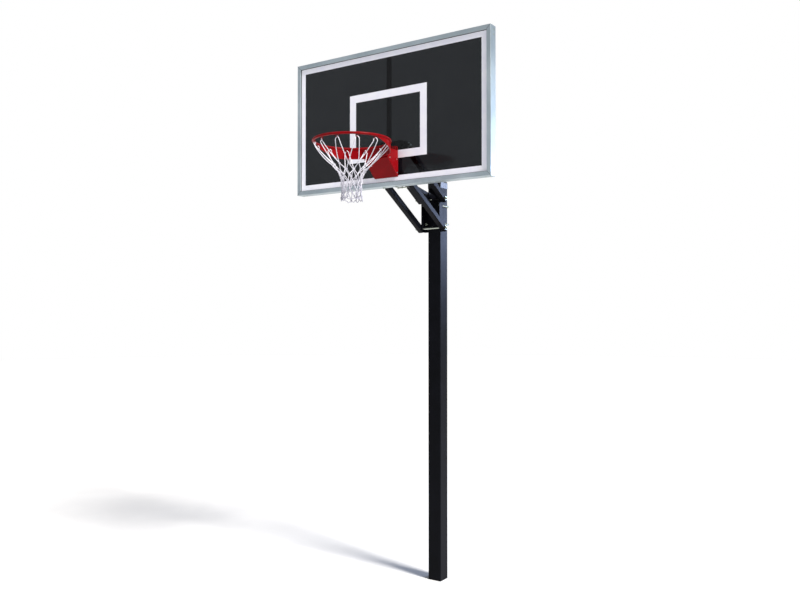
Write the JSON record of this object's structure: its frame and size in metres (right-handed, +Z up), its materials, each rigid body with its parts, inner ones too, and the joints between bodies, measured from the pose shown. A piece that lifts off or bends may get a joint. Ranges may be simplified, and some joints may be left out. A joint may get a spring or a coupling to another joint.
{
  "type": "basketball hoop",
  "caption": "In-ground basketball hoop: square black pole, framed smoked glass board, red breakaway rim with cord net, and a parallelogram arm set that lowers the board.",
  "frame": {"origin": "Centre of the pole's cross-section at its foot, at ground level, where the pole goes into its footing", "axes": "+Z up along the pole; the board and the rim face -Y, towards the court; +X is to the right of somebody facing the board"},
  "size_m": [1.5284, 1.3295, 3.6394],
  "materials": {
    "black_steel": "semi-gloss black powder coat",
    "zinc_steel": "bright zinc plate",
    "black_plastic": "moulded, fine grain",
    "cap_plastic": "moulded, satin to gloss",
    "black_rubber": "matt",
    "frame_aluminium": "satin anodised",
    "smoked_glass": "polished, dark smoke tint",
    "red_steel": "gloss red-orange powder coat",
    "net_cord": "braided white cord"
  },
  "bodies": {
    "pole": {"pole": "black_steel", "pole_foot_plug": "black_plastic", "pole_cap": "cap_plastic", "pole_bracket": "black_steel", "u_bolts": "zinc_steel", "u_bolt_washers": "zinc_steel", "u_bolt_nuts": "zinc_steel", "rear_pivot_rods": "zinc_steel", "rear_pivot_washers": "zinc_steel", "rear_pivot_nuts": "zinc_steel", "strut_spacers": "black_steel"},
    "lower_arms": {"lower_arm_right": "black_steel", "lower_arm_left": "black_steel", "lower_arm_bushes": "black_steel", "lower_arm_plugs": "black_plastic"},
    "upper_arms": {"upper_arm_right": "black_steel", "upper_arm_left": "black_steel", "upper_arm_bushes": "black_steel", "upper_arm_plugs": "black_plastic"},
    "strut_outer": {"strut_outer_tube": "black_steel", "strut_lock_screw": "zinc_steel"},
    "strut_inner": {"strut_inner_tube": "zinc_steel"},
    "board": {"front_pivot_rods": "zinc_steel", "front_pivot_washers": "zinc_steel", "front_pivot_nuts": "zinc_steel", "board_bracket": "black_steel", "bracket_bolts": "zinc_steel", "mount_pad": "black_rubber", "centre_strut": "black_steel", "centre_strut_angle": "black_steel", "centre_strut_bolts": "zinc_steel", "frame_top": "frame_aluminium", "frame_bottom": "frame_aluminium", "frame_left": "frame_aluminium", "frame_right": "frame_aluminium", "frame_corner_keys": "frame_aluminium", "frame_corner_screws": "zinc_steel", "glass_panel": "smoked_glass", "glazing_front": "black_rubber", "glazing_rear": "black_rubber", "glass_setting_blocks": "black_plastic", "rim_back_plate": "red_steel", "rim_bolts": "zinc_steel", "rim_bolt_nuts": "zinc_steel", "rim_hinge_pin": "zinc_steel", "spring_guide_bolts": "zinc_steel", "spring_guide_nuts": "zinc_steel", "rim_springs": "zinc_steel"},
    "rim": {"rim_bracket": "red_steel", "rim_cover": "red_steel", "rim_cover_screws": "zinc_steel", "ring": "red_steel", "ring_band": "red_steel", "net_hooks": "red_steel", "net": "net_cord"}
  },
  "joints": [
    {"name": "height_adjust", "type": "hinge", "parent": "pole", "child": "lower_arms", "pos_m": [0, -0.0835, 2.495], "axis": [1, 0, 0], "range_deg": [0, 56]},
    {"name": "board_level", "type": "hinge", "parent": "lower_arms", "child": "board", "pos_m": [0, -0.56046, 2.78614], "axis": [1, 0, 0], "range_deg": [-57, 1]},
    {"name": "upper_arm_swing", "type": "hinge", "parent": "pole", "child": "upper_arms", "pos_m": [0, -0.0835, 2.701], "axis": [1, 0, 0], "range_deg": [-1, 57]},
    {"name": "strut_swing", "type": "hinge", "parent": "pole", "child": "strut_outer", "pos_m": [0, -0.0835, 2.701], "axis": [1, 0, 0], "range_deg": [-1, 53]},
    {"name": "strut_slide", "type": "slide", "parent": "strut_outer", "child": "strut_inner", "axis": [0, -0.9844, 0.1757], "range_m": [-0.002, 0.193]},
    {"name": "rim_tilt", "type": "hinge", "parent": "board", "child": "rim", "pos_m": [0, -0.657, 2.8], "axis": [1, 0, 0], "range_deg": [0, 20], "stiffness_Nm_per_rad": 600, "springref_deg": -28.65, "deforming": ["rim_springs"]}
  ],
  "couplings": [
    {"joint": "board_level", "follows": "height_adjust", "ratio": -1},
    {"joint": "upper_arm_swing", "follows": "height_adjust", "ratio": 1},
    {"joint": "strut_swing", "follows": "height_adjust", "ratio": 0.9305},
    {"joint": "strut_slide", "follows": "height_adjust", "m_per_rad": 0.19504}
  ]
}
